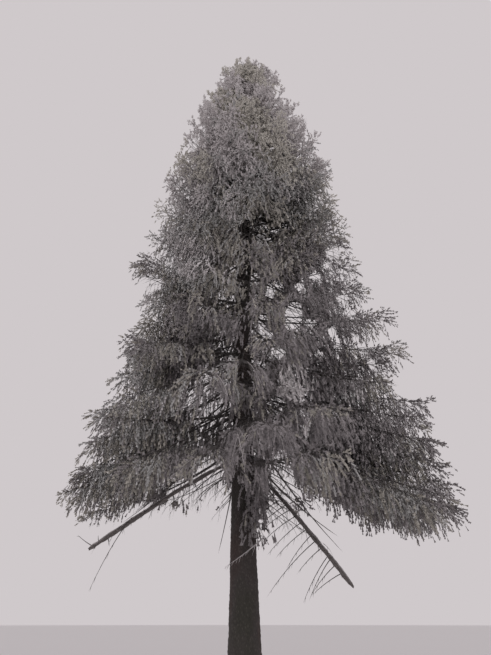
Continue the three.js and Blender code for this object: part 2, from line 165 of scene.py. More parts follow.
# Upright shoots round the leader, by the place of their tips
SPIRE_HEIGHT = 1.25
SPIRES = (
    (-0.82, -0.1, 19.2), (-0.35, -0.2, 19.65), (0.4, -0.15, 19.5), (0.66, -0.15, 19.3),
    (0.88, -0.1, 19.15), (1.14, 0.0, 18.8), (-0.4, 0.4, 19.0), (0.5, 0.5, 18.9),
)
# Dead limbs and boughs that stand out under the crown: height at the trunk, azimuth, reach, drop
# and thickness
LIMB_BEND = 0.06
DEAD_LIMBS = {
    "dead_limb_left": (4.45, 183, 2.78, 1.74, 0.046),
    "dead_limb_right": (4.35, -4, 1.93, 2.24, 0.045),
}
DEAD_BOUGHS_SEEN = (
    (4.55, 178, 2.28, 1.02, 0.012), (4.75, 174, 2.05, 1.2, 0.013), (4.65, -2, 1.95, 0.76, 0.02),
    (4.5, -6, 1.9, 1.15, 0.015), (3.35, -52, 0.62, 0.5, 0.014), (3.3, -68, 0.83, 0.5, 0.012),
    (4.1, -18, 1.1, 0.95, 0.012), (3.95, -38, 1.25, 1.0, 0.011), (4.2, -8, 0.9, 0.85, 0.011),
    (4.3, -163, 1.7, 0.85, 0.011), (4.05, -142, 1.2, 0.7, 0.01), (4.35, 172, 1.6, 0.9, 0.01),
)
# Other dead boughs: how many, how far they bow, and up to which level the twigs are dead inside
DEAD_BOUGHS = 72
DEAD_BOW = 0.13
DEAD_TWIG_LEVEL = 0.5
# Twigs of the dead limbs that show: share of the limb's length, and reach across, back and up
LIMB_TWIGS = {
    "dead_limb_left": (
        (0.78, -0.5, -0.1, -1.15), (0.9, 0.05, 0.05, -0.16), (0.98, -0.34, 0.04, 0.2),
        (0.95, -0.02, -0.05, 0.12), (0.55, -0.2, -0.2, -0.3),
    ),
    "dead_limb_right": (
        (0.2, -0.4, -0.12, -0.42), (0.27, -0.5, 0.05, -0.4), (0.33, -0.56, -0.06, -0.5),
        (0.39, -0.6, 0.02, -0.44), (0.44, -0.66, -0.04, -0.5), (0.48, -0.6, -0.02, -0.4),
        (0.53, -0.7, 0.03, -0.5), (0.58, -0.68, -0.04, -0.58), (0.63, -0.62, 0.02, -0.5),
        (0.67, -0.52, -0.05, -0.6), (0.71, -0.95, 0.05, -0.92), (0.76, -0.5, 0.0, -0.44),
        (0.81, -0.52, -0.03, -0.76), (0.83, -0.44, 0.04, -0.66), (0.87, -0.5, 0.0, -0.5),
        (0.92, -0.56, 0.0, -0.34),
    ),
}
# Short drooping boughs before the bare trunk: height at the trunk, azimuth and reach
SHORT_BOUGHS = (
    (5.1, -94, 1.0), (4.85, -62, 1.0), (4.55, -80, 0.9), (4.3, -52, 0.85), (4.05, -72, 0.8),
    (3.75, -58, 0.7), (3.5, -76, 0.6), (3.3, -50, 0.55),
)
# Distances along a stem, in metres, and the shares by which a stem is shortened to fit the crown
TWIG_SPACING = 0.11
BRANCHLET_SPACING = 0.075
SHOOT_SPACING = 0.062
SHORTENED = (0.8, 0.62, 0.45)
# Twigs: the angles at which they leave a bough, low and high in the crown, and radii at the root
TWIG_ANGLES = (math.radians(56), math.radians(60))
TWIG_THICKNESS = 0.011
BRANCHLET_THICKNESS = 0.0045
RIMED_THICKNESS = 0.0065
LIMB_TWIG_THICKNESS = 0.0085
DEAD_TWIG_THICKNESS = (0.003, 0.0055)
# Dead twigs: the shares of a stem between which they stand, their spacing and their usual length
ON_HANGING_TWIG = (0.15, 0.97, 0.06, 0.2)
ON_DEAD_LIMB = (0.3, 0.97, 0.16, 0.34)
ON_LIMB_TWIGS = (0.3, 0.95, 0.13, 0.16)
ON_DEAD_BOUGHS = (0.25, 0.98, 0.12, 0.36)
ON_DEAD_TWIGS = (0.25, 0.95, 0.11, 0.2)
# The same on the living boughs, where they end a little beyond the bare part
DEAD_FROM, DEAD_BEYOND, DEAD_SPACING, DEAD_LENGTH = 0.07, 0.06, 0.12, 0.45
# Shoots: length and width where the branchlet rises and where it hangs
SHOOT_LENGTHS = (0.095, 0.14)
SHOOT_WIDTHS = (0.024, 0.0155)
# Finer boughs: levels in each of the source's steps, levels below its first tier, the tier from
# which every level has boughs, and how much more they droop and how far that lifts their roots
LEVELS_BETWEEN = 8
LEVELS_BELOW = 4
DENSER_FROM = 3.4
DROOP = 0.38
DROOP_SHIFT = 2.5

# Needled shoots: pairs of broad needles, their reach, turn, lean and overlap, the share of the
# shoot that they cover, and how far the shoots face up and away from the trunk
NEEDLE_PAIRS = 3
NEEDLE_REACH = (0.9, 1.0, 0.72)
NEEDLE_TURNS = (0.0, 0.7, -0.7)
NEEDLE_LEAN = 0.12
NEEDLE_OVERLAP = 0.35
NEEDLED = 0.85
FACED_UP = 0.3
FACING_SPREAD = 0.35

# Tints from dark to pale, the darkest partly painted shade, and an olive one apart, where one gives
# way to the next, how much they change in patches, and the level from which there are olive patches
TINTS = ("deep", "olive", "grey_green", "frosted", "rimed", "white", "olive_frosted")
TINT_STEPS = (0.15, 0.4, 0.75, 1.1, 1.7)
PATCHES = 0.28
OLIVE_FROM = 0.35
# Sprays thick with rime before the trunk, and parts of the crown made paler with frost and others
# made darker with painted shade where the amount is below 0, by place in the picture and half-size,
# in pixels, and how much. A spray has 1 or more, and takes only needles that are at least this far
# before the trunk: RIMED_BEFORE
FROST_AND_PAINTED_SHADE_PLACES = (
    (292, 382, 18, 19, 1.5), (388, 452, 9, 6, 1.0), (205, 258, 16, 4, 1.0),
    (305, 430, 10, 12, 1.0), (352, 395, 14, 7, 1.0), (150, 256, 26, 18, -0.5),
    (182, 318, 30, 22, -0.3), (325, 310, 24, 44, -0.4), (335, 432, 36, 16, -0.85),
    (322, 285, 26, 34, -0.25), (192, 255, 30, 18, 0.35), (200, 178, 22, 28, 0.25),
    (385, 482, 34, 38, 0.2), (182, 430, 16, 16, 0.4), (210, 395, 22, 26, -0.35),
    (262, 436, 36, 20, -0.4), (246, 474, 26, 26, -0.3), (282, 456, 16, 14, -0.3),
    (240, 92, 30, 28, -0.3),
)
RIMED_BEFORE = -1.0

# Twigs thick with rime: their share of the outer branchlets, how long a branchlet has to be, and
# one that hangs before the trunk's left side, by its root, its two legs and its thickness
RIMED_SHARE = 0.07
RIMED_LENGTH = 0.4
HANGING_TWIG = ((0.3, -0.75, 2.8), (-0.26, -0.06, -0.22), (-0.4, 0.02, -0.24), 0.014)

# Tubes: radius at the tip, sides and rings
BOUGH_TUBE = (0.004, 7, 14)
TWIG_TUBE = (0.003, 3, 3)
LONG_BRANCHLET_TUBE = (0.002, 3, 2)
BRANCHLET_TUBE = (0.002, 3, 1)
RIMED_TUBE = (0.003, 4, 4)
DEAD_BOUGH_TUBE = (0.003, 5, 5)
DEAD_TWIG_TUBE = (0.0015, 3, 3)
DEAD_SPRIG_TUBE = (0.001, 3, 1)
LIMB_TWIG_TUBE = (0.003, 5, 6)
LIMB_SPRIG_TUBE = (0.0015, 3, 2)
# From this length a branchlet is bent, and from this level bark is frosted
LONG_BRANCHLET = 0.56
FROSTED_FROM = 0.5

# Parts of the crown whose needles are joined, by level from the lowest tier to the highest
ZONES = (("low", 0.0, 0.25), ("middle", 0.25, 0.5), ("high", 0.5, 1.01))
RAISED = "raised bark"


def mix(low, high, share):
    return low + (high - low) * share


def unit(vectors):
    return vectors / np.maximum(np.linalg.norm(vectors, axis=-1, keepdims=True), 1e-9)


def smooth(low, high, value):
    share = np.clip((value - low) / (high - low), 0.0, 1.0)
    return share * share * (3.0 - 2.0 * share)


def outwards(azimuth):
    return np.stack((np.cos(azimuth), np.sin(azimuth), np.zeros_like(azimuth)), axis=-1)


# The tree's own rules, as its source has them


def trunk_centre(height):
    height = np.asarray(height, float)
    share = height / TREE_HEIGHT
    return np.stack(
        (LEAN * share + BOW * share**2, BACK * np.sin(np.pi * share), height), axis=-1
    )


def trunk_radius(height):
    height = np.asarray(height, float)
    taper = np.sqrt(np.clip((TREE_HEIGHT - height) / (TREE_HEIGHT - BREAST_HEIGHT), 0, None))
    stem = LEADER_RADIUS + (STEM_RADIUS - LEADER_RADIUS) * taper
    return stem * (1 + SWELL * np.exp(-height / SWELL_HEIGHT))


def crown_radius(height, azimuth):
    fuller = 1 + mix(FULLER_LOW, FULLER_HIGH, height / TREE_HEIGHT) * np.cos(azimuth)
    return np.interp(height, CROWN_HEIGHTS, CROWN_RADII) * fuller


def wave(azimuth):
    return sum(rise * np.sin(count * azimuth + phase) for count, phase, rise in TIER_WAVES)


class Rows:
    """Arrays with one row for each strand or shoot."""

    def pick(self, which):
        return type(self)(*(getattr(self, name)[which] for name in self.__dataclass_fields__))

    def __len__(self):
        return len(self.root)


@dataclass
class Strands(Rows):
    """Many curved stems. Each starts at its root and follows a first leg and then a last one.
    The extent is the share of the crown's radius that its foliage may reach."""

    root: np.ndarray
    first: np.ndarray
    last: np.ndarray
    level: np.ndarray
    thickness: np.ndarray
    extent: np.ndarray

    def point(self, share):
        share = np.asarray(share)[..., None]
        return self.root + self.first * (2 * share - share**2) + self.last * share**2

    def direction(self, share):
        share = np.asarray(share)[..., None]
        return unit(self.first * (1 - share) + self.last * share)

    def length(self):
        return np.linalg.norm(self.first, axis=-1) + np.linalg.norm(self.last, axis=-1)


def strands_of(rows):
    return Strands(*(np.array(column) for column in zip(*rows)))


def joined(*groups):
    names = Strands.__dataclass_fields__
    return Strands(*(np.concatenate([getattr(group, name) for group in groups]) for name in names))


def places_along(lengths, spacing, first, last, random):
    """The parent and the share of its length for each thing that grows from many stems."""
    first, last = (np.broadcast_to(share, len(lengths)) for share in (first, last))
    counts = np.maximum(1, np.round(lengths * (last - first) / spacing)).astype(int)
    parent = np.repeat(np.arange(len(counts)), counts)
    number = np.arange(counts.sum()) - np.repeat(np.cumsum(counts) - counts, counts)
    spot = (number + random.uniform(0.15, 0.85, len(parent))) / counts[parent]
    return parent, number, mix(first[parent], last[parent], spot)


def sprouts(stems, lengths, spacing, first, last, random):
    """For each thing that grows from the sides of many stems: its stem's number, the stem, the
    place along it, the side and the stem's direction there."""
    parent, number, share = places_along(lengths, spacing, first, last, random)
    source = stems.pick(parent)
    return parent, source, share, np.where(number % 2, 1.0, -1.0), source.direction(share)


def curved(source, share, start, end, length, thickness, bend=0.5):
    """Strands that leave their stems in one direction and end in another. The first leg has the
    share `bend` of their length."""
    first, last = start * (bend * length)[:, None], end * ((1 - bend) * length)[:, None]
    return Strands(source.point(share), first, last, source.level, thickness, source.extent)


def turned(vectors, axis, angle):
    """Vectors turned about unit axes."""
    along = (vectors * axis).sum(-1, keepdims=True) * axis
    across = (vectors - along) * np.cos(angle)[:, None]
    return along + across + np.cross(axis, vectors) * np.sin(angle)[:, None]


def in_picture(points):
    """Where points fall in the photograph, in its pixels."""
    focal = CAMERA_LENS / SENSOR * PHOTO_SIZE[1]
    away = points[:, 1] - CAMERA_PLACE[1]
    above = points[:, 2] - CAMERA_PLACE[2]
    depth = away * math.cos(CAMERA_PITCH) + above * math.sin(CAMERA_PITCH)
    rise = above * math.cos(CAMERA_PITCH) - away * math.sin(CAMERA_PITCH)
    across = PHOTO_SIZE[0] / 2 + focal * (points[:, 0] - CAMERA_PLACE[0]) / depth
    return across, PHOTO_SIZE[1] / 2 - focal * rise / depth


def behind_trunk(points):
    """Which points the trunk hides from the camera, so that no opening shows them."""
    camera = np.array(CAMERA_PLACE)
    share = -camera[1] / (points[:, 1] - camera[1])
    crossing = camera + share[:, None] * (points - camera)
    off = np.abs(crossing[:, 0] - trunk_centre(crossing[:, 2])[:, 0])
    return (points[:, 1] > 0) & (off < trunk_radius(crossing[:, 2]))


def off_place(across, down, centre_x, centre_y, half_x, half_y):
    """How far points in the picture are from a place: under 1 inside it."""
    return ((across - centre_x) / half_x) ** 2 + ((down - centre_y) / half_y) ** 2


def outside_openings(points, random):
    """Which points are kept, so that the crown is open where the photograph shows it open.
    The share that is missing falls to nothing at an opening's uneven edge."""
    across, down = in_picture(points)
    chance = random.random(len(points))
    kept = np.ones(len(points), bool)
    ragged = 1 + 0.35 * np.sin(1.3 * across + 0.7 * down) * np.sin(0.8 * across - 1.1 * down)
    for *place, missing in OPENINGS:
        off = off_place(across, down, *place)
        kept &= chance > missing * np.clip(3.2 - 2.8 * off * ragged, 0.0, 1.0)
    return kept | behind_trunk(points)


def in_box(points):
    low, high = np.array(CAD_LOW) - BOX_ROOM, np.array(CAD_HIGH) + BOX_ROOM
    return ((points > low) & (points < high)).all(-1)


def fitted(strands, share):
    """Strands made shorter where their tips would leave the crown."""
    for size in SHORTENED:
        out = ~inside_crown(strands.point(1.0), share)
        strands.first[out] *= size
        strands.last[out] *= size
    return strands


def crown_foot(radius, east, north):
    """The lowest height of the foliage: lowest at the crown's edge and before the trunk."""
    edge = EDGE_FOOT - LOWER_RIGHT * smooth(0.8, 2.8, east)
    foot = mix(edge, BACK_FOOT, smooth(-0.6, 2.4, north))
    foot = np.maximum(foot, mix(INNER_FOOT, edge, smooth(0.8, 2.6, radius)))
    before_trunk = (np.abs(east - FRONT_MIDDLE) < FRONT_HALF_WIDTH) & (north < 0)
    foot = np.where(before_trunk & (radius < FRONT_REACH), FRONT_FOOT, foot)
    azimuth = np.arctan2(north, east)
    return foot + RAGGED * np.sin(13 * azimuth + 3 * radius) * np.sin(29 * azimuth - 2 * radius)


def round_trunk(points):
    """Distance from the trunk's centre, east, north and in all, and the crown's radius there."""
    east, north, _ = (points - trunk_centre(points[:, 2])).T
    return east, north, np.hypot(east, north), crown_radius(points[:, 2], np.arctan2(north, east))


def depth_in_crown(points):
    """0 at the trunk and 1 in the crown's outline."""
    _, _, radius, widest = round_trunk(points)
    return radius / widest


def inside_crown(points, share):
    east, north, radius, widest = round_trunk(points)
    above_foot = points[:, 2] > crown_foot(radius, east, north)
    return (radius < widest * share) & above_foot & in_box(points)


def clumps(azimuth, height):
    """From -1 to 1: where the crown stands out in clumps and where it draws in."""
    first = np.sin(5 * azimuth + 1.9 * height)
    second = np.sin(8 * azimuth - 3.1 * height + 1.0)
    third = np.sin(3 * azimuth + 4.6 * height + 2.2)
    return (first + second + third) / 3


def grow_boughs(random):
    """A bough for every limb of the source's tiers, for the finer levels between them, for the
    long boughs that stand out of the outline, and for the short ones before the trunk."""
    rows = []
    levels = (TIERS - 1) * LEVELS_BETWEEN
    for number in range(-LEVELS_BELOW, levels + 1):
        tier = number / LEVELS_BETWEEN
        if number % 2 and tier < DENSER_FROM:
            continue
        own = number >= 0 and number % LEVELS_BETWEEN == 0
        count = BOUGHS_PER_TIER[max(0, round(tier))] + (0 if own else 1)
        for place in range(count):
            azimuth = tier * TIER_TURN + place * 2 * math.pi / count
            if not own:
                azimuth += random.uniform(-0.25, 0.25)
            base = LOWEST_TIER + tier * TIER_STEP + wave(azimuth)
            ragged = mix(0.03, 0.06, smooth(0.4, 0.8, tier / TIERS))
            share = 0.97 + 0.08 * float(clumps(azimuth, base)) + random.uniform(-ragged, ragged)
            droop = 0.0 if own else drooping(tier) * random.uniform(0.75, 1.2)
            rows.append(bough(base + DROOP_SHIFT * droop, azimuth, share, tier, droop))
    for tip_height, azimuth, reach in LONG_BOUGHS:
        azimuth = math.radians(azimuth)
        base = tip_height - 0.4
        for _ in range(6):
            tier = (base - LOWEST_TIER) / TIER_STEP
            slope, curl = bough_shape(tier)
            base = tip_height - (slope - drooping(tier)) * reach - curl * reach**2
        share = reach / float(crown_radius(tip_height, azimuth)) + 0.03
        rows.append(bough(base, azimuth, share, tier, drooping(tier), reach))
    bare = mix(*BARE_SHARE, smooth(0.1, 0.5, np.array([row[3] for row in rows])))
    for height, azimuth, reach in SHORT_BOUGHS:
        rows.append(bough(height, math.radians(azimuth), 1.0, 0.0, 0.0, reach))
    for east, north, height in SPIRES:
        foot = trunk_centre(height - SPIRE_HEIGHT)
        rise = np.array((east, north, height)) - foot
        first = rise * (0.96, 0.96, 0.2)
        rows.append((foot, first, rise - first, 1.0, 0.01, LEADER_ROOM))
    leader = trunk_centre(LEADER_FROM)
    half = (trunk_centre(TREE_HEIGHT - 0.02) - leader) / 2
    rows.append((leader, half, half, 1.0, 0.01, LEADER_ROOM))
    bare = np.concatenate((bare, np.full(len(SHORT_BOUGHS), 0.2), np.full(len(SPIRES) + 1, 0.3)))
    return strands_of(rows), bare


def drooping(tier):
    """How much steeper than the source's limbs the finer boughs fall, most in the lower crown."""
    return DROOP * (1 - float(smooth(0.1, 0.75, tier / (TIERS - 1))))


def level_of(tier):
    return min(max(tier / (TIERS - 1), 0.0), 1.0)


def bough_shape(tier):
    """Slope and curl of a tier's boughs."""
    level = level_of(tier)
    slope = mix(LOW_SLOPE, HIGH_SLOPE, level**1.2)
    usual = crown_radius(LOWEST_TIER + tier * TIER_STEP + slope, math.pi / 2)
    return slope, mix(LOW_CURL, HIGH_CURL, level**2) / usual


def bough(base, azimuth, share, tier, droop=0.0, reach=None):
    """A bough from the trunk's centre to a share of the crown's radius, or to a reach."""
    slope, curl = bough_shape(tier)
    slope -= droop

    def rise(radius):
        return base + slope * radius + curl * radius**2

    direction = outwards(np.array(azimuth))
    if reach is None:
        reach = 2 * float(trunk_radius(base))
        flat = trunk_centre(base) * (1, 1, 0)
        while reach < share * crown_radius(rise(reach), azimuth) and in_box(
            flat + direction * reach + UP * rise(reach)
        ):
            reach += 0.02
    first = direction * reach / 2 + UP * slope * reach / 2
    last = direction * reach / 2 + UP * (rise(reach) - base - slope * reach / 2)
    thickest = FINE_BOUGH_ROOT if droop or reach < 1.0 else BOUGH_ROOT
    thickness = min(thickest, 0.35 * float(trunk_radius(base)))
    return trunk_centre(base), first, last, level_of(tier), thickness, share


def side_directions(line, angle, random):
    """Directions that leave a stem to its sides, or all round it where it stands upright."""
    around = unit(np.cross(line, outwards(random.uniform(0, 2 * math.pi, len(line)))) + 1e-6)
    return turned(line, np.where(line[:, 2:] > UPRIGHT, around, UP), angle)


def grow_side_twigs(boughs, inner, random):
    """Twigs to both sides of each bough, along its rising surface."""
    denser = mix(1.0, 1.15, smooth(0.5, 0.85, boughs.level))
    denser[boughs.extent >= LEADER_ROOM] = 2.0
    denser *= boughs.length()
    _, source, share, side, line = sprouts(boughs, denser, TWIG_SPACING, inner, 0.985, random)
    level = source.level
    angle = mix(*TWIG_ANGLES, level)
    angle = side * (angle + random.normal(0, 0.16, len(side)))
    spire = smooth(0.9, 1.0, level) * smooth(0.4, 0.9, share)
    angle *= mix(1.0, 0.72, smooth(0.6, 1.0, share)) * mix(1.0, 0.62, spire)
    start = side_directions(line, angle, random)
    reach = np.minimum(crown_radius(source.root[:, 2] + 0.3, 0.0), 1.1 * source.length())
    high = smooth(0.35, 0.75, level)
    length = 0.36 * reach * (1 - 0.72 * share) * random.uniform(0.7, 1.15, len(side)) + 0.1
    length *= mix(1.0, mix(0.72, 0.32, smooth(0.6, 0.95, share)), high)
    length *= mix(1.0, 1.5, spire)
    lift = mix(-0.5, 0.25, smooth(0.2, 0.9, level)) + 0.45 * smooth(0.75, 1.0, share) + 0.6 * high
    end = unit(start + line * 0.35 + UP * (lift + random.normal(0, 0.12, len(side)))[:, None])
    thickness = TWIG_THICKNESS * (1 - 0.5 * share) * np.clip(length / 0.6, 0.5, 1.2)
    twigs = curved(source, share, start, end, length, thickness)
    twigs = fitted(twigs, twigs.extent + 0.02)
    keep = inside_crown(twigs.point(1.0), twigs.extent + 0.04)
    return twigs.pick(keep), share[keep]


def grow_branchlets(stems, first, outer_share, own, random):
    """Branchlets on the side twigs and on the boughs' own outer ends: they hang, and turn up at
    the crown's top and edge."""
    sparser = stems.length() * mix(1.0, 0.76, smooth(0.4, 0.7, stems.level))
    sparser[stems.extent >= LEADER_ROOM] *= 1.7
    parent, source, share, side, line = sprouts(
        stems, sparser, BRANCHLET_SPACING, first, 0.97, random
    )
    level = source.level
    high = smooth(0.35, 0.75, level)
    outer = np.where(own[parent], share, outer_share[parent])
    start = side_directions(line, side * (0.95 + random.normal(0, 0.25, len(side))), random)
    tip = smooth(mix(0.82, 0.62, high), mix(1.0, 0.85, high), outer)
    hang = (1 - 0.3 * smooth(0.6, 1.0, level)) * (1 - mix(0.6, 0.92, high) * tip)
    hang *= random.uniform(0.75, 1.0, len(side))
    start = unit(start + UP * mix(0.45, -0.35, hang)[:, None])
    down = unit(start * 0.12 - UP + random.normal(0, 0.07, (len(side), 3)))
    raised = unit(start + line * 0.5 + UP * 0.5)
    end = unit(raised * (1 - hang)[:, None] + down * hang[:, None])
    usual = mix(mix(0.15, 0.11, high), 0.6, hang) * mix(1.15, 0.9, level)
    length = usual * (1 - 0.4 * share) * random.uniform(0.55, 1.35, len(side))
    thickness = np.full(len(side), BRANCHLET_THICKNESS)
    branchlets = curved(source, share, start, end, length, thickness, 0.3)
    middle = branchlets.point(0.6)
    branchlets = fitted(branchlets, branchlets.extent + 0.04)
    keep = inside_crown(branchlets.point(1.0), branchlets.extent + 0.05)
    keep &= outside_openings(middle, random)
    return branchlets.pick(keep), parent[keep], hang[keep]


@dataclass
class Shoots(Rows):
    """Many needled shoots: root, axis, the direction across them, length and width."""

    root: np.ndarray
    axis: np.ndarray
    across: np.ndarray
    length: np.ndarray
    width: np.ndarray
    level: np.ndarray
    tint: np.ndarray


def away_from_trunk(points):
    return unit((points - trunk_centre(points[:, 2])) * (1.0, 1.0, 0.0))


def grow_shoots(stems, first, twig_of, hang, random):
    """Shoots along each stem and one at its end, fewer and larger inside the crown."""
    inside = 1 - smooth(0.5, 0.85, depth_in_crown(stems.point(0.6)))
    high = smooth(0.3, 0.8, stems.level)
    sparser = stems.length() * mix(1.0, 0.3, inside) * mix(1.15, 0.72, hang)
    parent, number, share = places_along(sparser, SHOOT_SPACING, first, 0.96, random)
    ends = np.arange(len(stems))
    parent = np.concatenate((parent, ends))
    share = np.concatenate((share, np.full(len(ends), 0.93)))
    is_end = np.concatenate((np.zeros(len(number), bool), np.ones(len(ends), bool)))
    count = len(parent)
    spin = np.concatenate((number * math.pi, np.zeros(len(ends))))
    spin += random.uniform(-0.9, 0.9, count)
    source = stems.pick(parent)
    hang = hang[parent]
    line = source.direction(share)
    helper = unit(np.cross(line, outwards(random.uniform(0, 2 * math.pi, count))) + 1e-6)
    aside = turned(helper, line, spin)
    spread = np.where(is_end, 0.08, mix(0.62, 0.16, hang)) * random.uniform(0.6, 1.35, count)
    lift = mix(0.35, -0.2, hang)
    axis = line * np.cos(spread)[:, None] + aside * np.sin(spread)[:, None]
    axis = unit(axis + UP * lift[:, None])
    on_spire = source.extent >= LEADER_ROOM
    root = source.point(share)
    faced = away_from_trunk(root) + UP * FACED_UP + random.normal(0, FACING_SPREAD, axis.shape)
    across = unit(np.cross(axis, faced))
    larger = mix(1.0, 1.6, inside[parent]) * mix(1.1, 0.85, source.level)
    stubby = high[parent]
    length = mix(*SHOOT_LENGTHS, hang) * np.where(is_end, 1.15, 1.0) * larger
    length *= (1 - 0.2 * share) * random.uniform(0.75, 1.25, count) * mix(1.0, 0.95, stubby)
    width = mix(*SHOOT_WIDTHS, hang) * larger * random.uniform(0.85, 1.15, count)
    width *= mix(1.0, 2.4, stubby)
    width[on_spire] *= 0.7
    length[on_spire & is_end] *= 0.7
    tint = dealt_tints(root, twig_of[parent], source.level, inside[parent], random)
    shoots = Shoots(root, axis, across, length, width, source.level, tint)
    tip = root + axis * length[:, None]
    keep = inside_crown(tip, source.extent + 0.08)
    keep &= outside_openings((root + tip) / 2, random)
    return shoots.pick(keep)


def patches(place):
    """From -1 to 1: parts of the crown about a metre wide with more frost or with less."""
    east, north, height = place.T
    first = np.sin(2.9 * east + 1.3 * height) * np.sin(2.4 * north - 1.7 * height + 0.8)
    second = np.sin(1.7 * north + 4.1 * height) * np.sin(5.3 * east + 0.9 * height + 2.0)
    return 0.6 * first + 0.4 * second


def dealt_tints(place, twig, level, inside, random):
    """The number of each shoot's tint: alike along a twig, paler up the crown, deeper inside it
    with painted shade, deeper on its fuller side, paler with frost in some places of the picture
    and darker with painted shade in others, and palest in the sprays that are thick with rime."""
    along_twig = random.random(twig.max() + 1)[twig]
    spread = mix(0.7, 0.15, level)
    pale = (along_twig - 0.5 + random.normal(0, 0.06, len(twig))) * spread
    # Painted shade: shoots inside the crown take deeper tints
    pale -= mix(0.35, 0.1, level) * inside
    pale += 0.3 + 1.02 * smooth(0.0, 0.76, level) + PATCHES * mix(1.0, 0.5, level) * patches(place)
    pale -= 0.24 * np.clip(place[:, 0] / 1.2, 0, 1) * (1 - level)
    middle = smooth(0.03, 0.12, level) * (1 - smooth(0.32, 0.45, level))
    pale -= 0.28 * middle * np.clip(0.5 + 0.5 * place[:, 0], 0.2, 1)
    across, down = in_picture(place)
    # Places of the picture: paler with frost, and darker with painted shade where the amount is below 0
    for *area, more in FROST_AND_PAINTED_SHADE_PLACES:
        near = off_place(across, down, *area) < mix(0.3, 1.6, along_twig)
        pale[near & (place[:, 1] < RIMED_BEFORE if more >= 1 else near)] += more
    dealt = np.digitize(pale, TINT_STEPS)
    dealt[(level > OLIVE_FROM) & (olive_patches(place) > 0.1) & (dealt > 1)] = len(TINT_STEPS) + 1
    return dealt


def olive_patches(place):
    """Where, high in the crown, the needles are more olive than frosted."""
    east, north, height = place.T
    return np.sin(2.2 * east + 0.9 * height + 1.0) * np.sin(1.6 * north - 0.7 * height + 0.4)


def rimed_twigs(branchlets, random):
    """A few long hanging twigs with no needles, thick with rime, at the crown's surface."""
    outer = depth_in_crown(branchlets.point(0.6)) > 0.75
    long = branchlets.length() > RIMED_LENGTH
    chosen = outer & long & (random.random(len(branchlets)) < RIMED_SHARE)
    twigs = branchlets.pick(chosen)
    twigs.first *= 1.5
    twigs.last *= 1.2
    twigs.thickness[:] = RIMED_THICKNESS
    return twigs.pick(in_box(twigs.point(1.0)))


def hanging_twig(random):
    root, first, last, thickness = HANGING_TWIG
    stem = Strands(*(np.array([value], float) for value in (root, first, last, 0, thickness, 0)))
    return joined(stem, grow_dead_twigs(stem, *ON_HANGING_TWIG, random))


def limb(height, azimuth, reach, drop, thickness, bend=LIMB_BEND):
    """A dead limb from the trunk, raised a little at its middle."""
    root = trunk_centre(height)
    end = outwards(np.array(math.radians(azimuth))) * reach - UP * drop
    first = end / 2 + UP * 2 * bend * drop
    return root, first, end - first, 0.0, thickness, 0.0


def limbs(rows):
    return strands_of([limb(*row) for row in rows])


def grow_dead_boughs(random):
    """Thin dead boughs with no needles, round the trunk under and inside the crown."""
    rows = list(DEAD_BOUGHS_SEEN)
    for number in range(DEAD_BOUGHS):
        up = number / DEAD_BOUGHS
        reach = random.uniform(0.5, 1.0) * mix(1.2, 2.3, math.sin(math.pi * up) ** 0.5)
        drop = reach * random.uniform(0.45, 0.82)
        azimuth = math.degrees(number * TIER_TURN) + random.uniform(-17, 17)
        height = mix(3.9, 9.0, up**1.3) + random.uniform(-0.1, 0.1)
        rows.append((height, azimuth, reach, drop, random.uniform(0.009, 0.017), 0.1))
    boughs = limbs(rows)
    bow = random.normal(0, DEAD_BOW, boughs.first.shape) * boughs.length()[:, None]
    boughs.first += bow
    boughs.last -= bow
    return boughs


def grow_dead_twigs(stems, first, last, spacing, length, random):
    """Drooping dead twigs from both sides of many stems."""
    _, source, share, side, line = sprouts(stems, stems.length(), spacing, first, last, random)
    count = len(side)
    start = side_directions(line, side * random.uniform(0.6, 1.3, count), random)
    start = unit(start + UP * random.normal(-0.15, 0.25, count)[:, None])
    end = unit(start * 0.6 - UP * random.uniform(0.2, 1.3, count)[:, None])
    length = length * random.uniform(0.45, 1.3, count) * (1 - 0.4 * share)
    thickness = np.minimum(0.5 * source.thickness, random.uniform(*DEAD_TWIG_THICKNESS, count))
    return curved(source, share, start, end, length, thickness)


def grow_limb_twigs(name, random):
    """The twigs of a dead limb: those that show in the photograph, and others all round it."""
    stem = limbs([DEAD_LIMBS[name]])
    rows = np.array(LIMB_TWIGS[name])
    share, reach = rows[:, 0], rows[:, 1:]
    root = stem.pick(np.zeros(len(rows), int)).point(share)
    first = reach * (0.55, 0.55, 0.4)
    same = np.zeros(len(rows))
    shown = Strands(root, first, reach - first, same, same + LIMB_TWIG_THICKNESS, same)
    both = joined(shown, grow_dead_twigs(stem, *ON_DEAD_LIMB, random))
    return both, grow_dead_twigs(both, *ON_LIMB_TWIGS, random)


